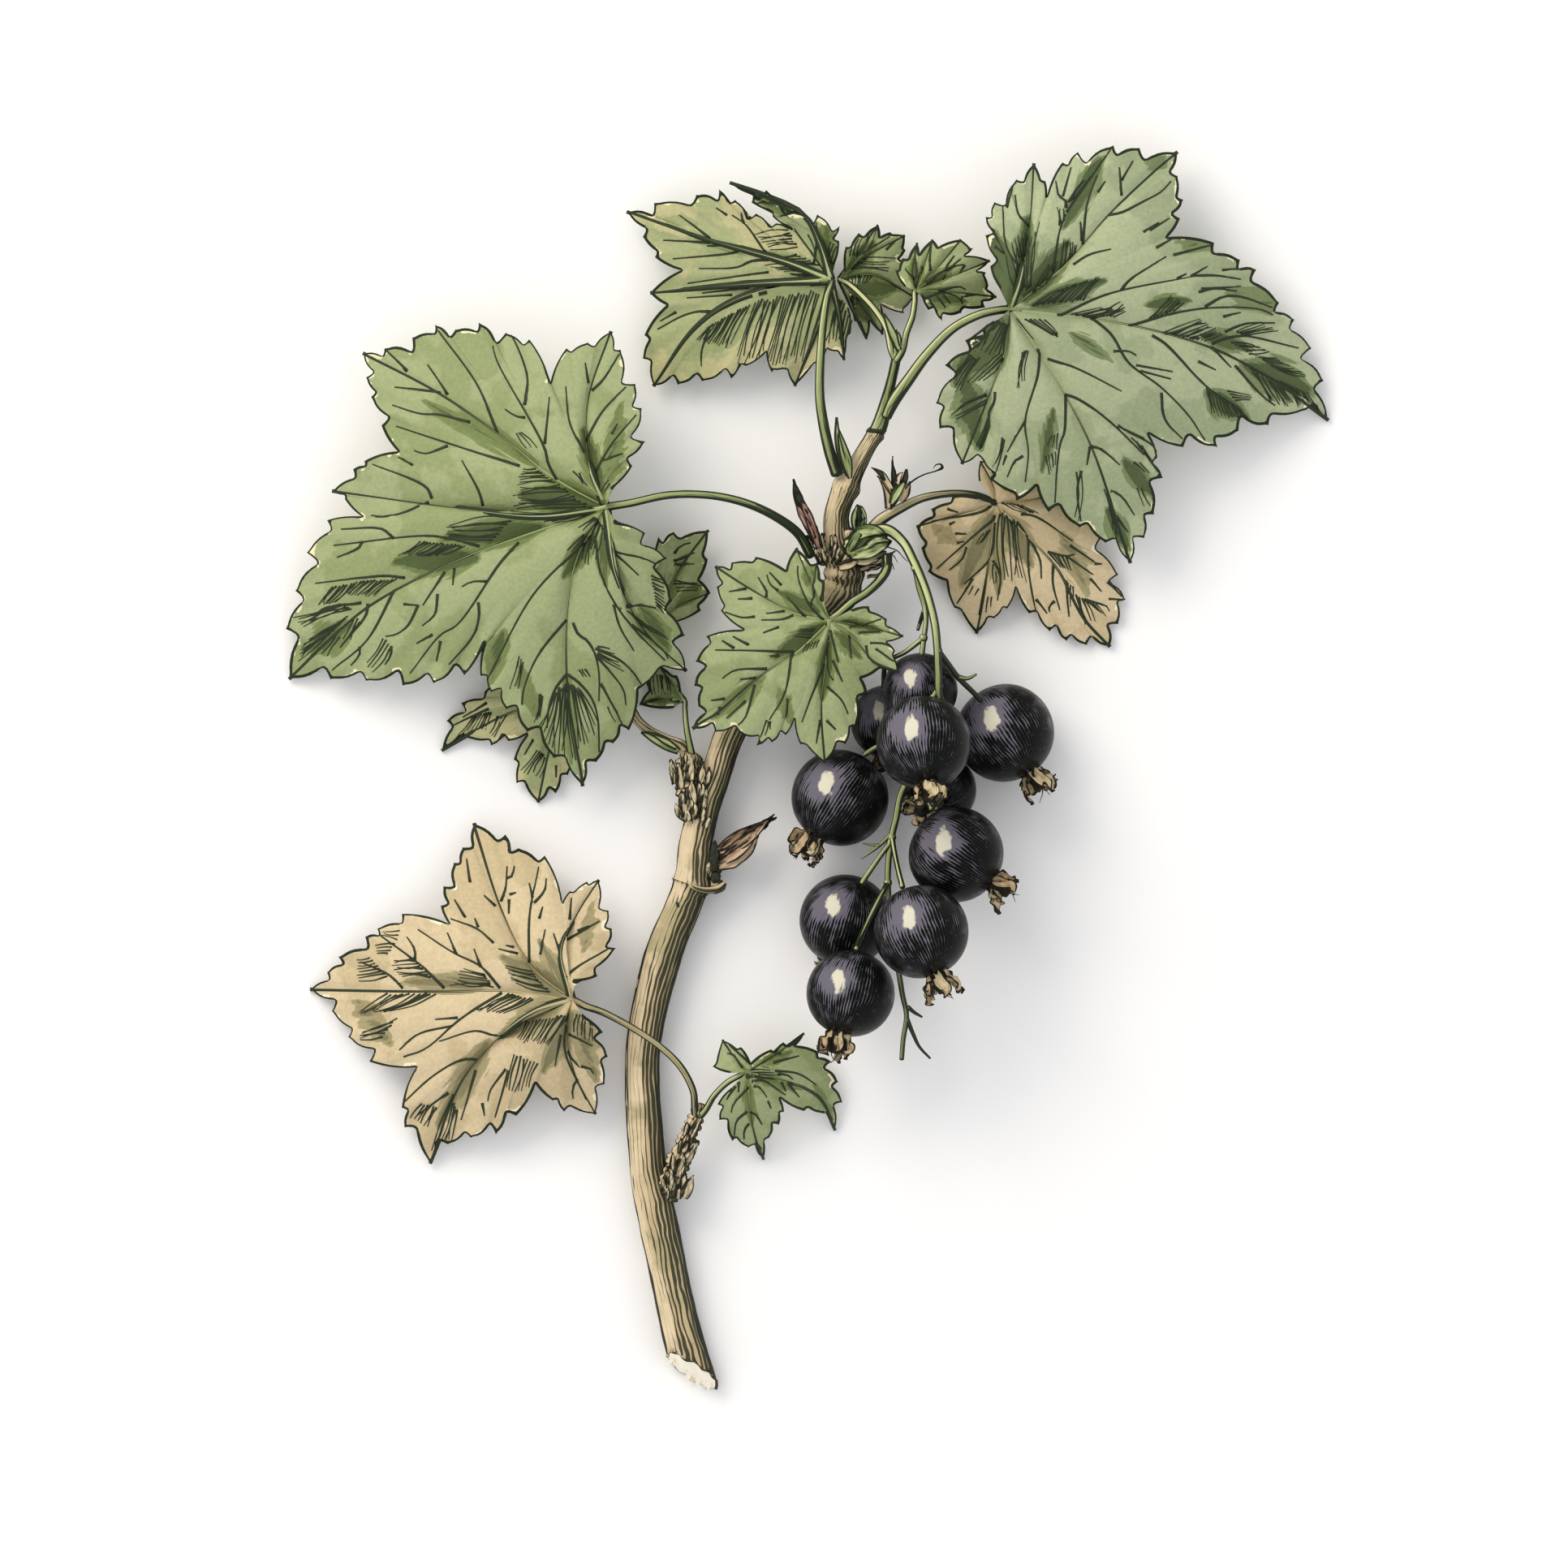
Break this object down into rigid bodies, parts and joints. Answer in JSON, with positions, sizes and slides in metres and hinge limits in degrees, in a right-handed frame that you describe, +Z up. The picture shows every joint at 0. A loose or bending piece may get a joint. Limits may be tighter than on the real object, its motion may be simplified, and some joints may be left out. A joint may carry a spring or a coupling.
{
  "type": "blackcurrant sprig",
  "caption": "Cut woody sprig of blackcurrant lying down, with toothed lobed leaves on long stalks and one hanging truss of dark berries.",
  "frame": {"origin": "middle of the sprig's box in plan, on the surface it lies on", "axes": "+Y from the cut end of the stem towards the young leaves, +X to the side the berries hang on, +Z up from the surface"},
  "size_m": [0.1287, 0.1532, 0.0269],
  "materials": {
    "bark": "matte",
    "green_shoot": "satin",
    "bud_scales": "matte",
    "leaf_green": "satin",
    "leaf_blue_green": "satin",
    "leaf_tan": "matte",
    "leaf_underside": "matte",
    "berry_skin": "gloss",
    "dried_flower": "matte"
  },
  "bodies": {
    "root": {"woody_stem": "bark", "shoot_tip": "green_shoot", "truss_stalk": "green_shoot", "withered_flower": "green_shoot", "bud_right": "bud_scales", "bud_long": "bud_scales", "bud_tip": "green_shoot", "bract_upper": "green_shoot", "bract_lower": "green_shoot", "bract_shoot": "green_shoot", "leaf_large_left": "leaf_green", "leaf_centre": "leaf_green", "leaf_small_lower_right": "leaf_green", "leaf_young_folded": "leaf_green", "leaf_young_open": "leaf_green", "leaf_behind_right": "leaf_green", "leaf_behind_left": "leaf_green", "leaf_bud_left": "leaf_green", "leaf_large_right": "leaf_blue_green", "leaf_pale_right": "leaf_tan", "leaf_pale_lower_left": "leaf_tan", "leaf_turned_top_left": "leaf_underside", "berry_01": "berry_skin", "calyx_01": "dried_flower", "berry_02": "berry_skin", "calyx_02": "dried_flower", "berry_03": "berry_skin", "calyx_03": "dried_flower", "berry_04": "berry_skin", "calyx_04": "dried_flower", "berry_05": "berry_skin", "calyx_05": "dried_flower", "berry_06": "berry_skin", "calyx_06": "dried_flower", "berry_07": "berry_skin", "calyx_07": "dried_flower", "berry_08": "berry_skin", "calyx_08": "dried_flower", "berry_09": "berry_skin", "calyx_09": "dried_flower", "berry_10": "berry_skin", "calyx_10": "dried_flower"}
  },
  "joints": []
}
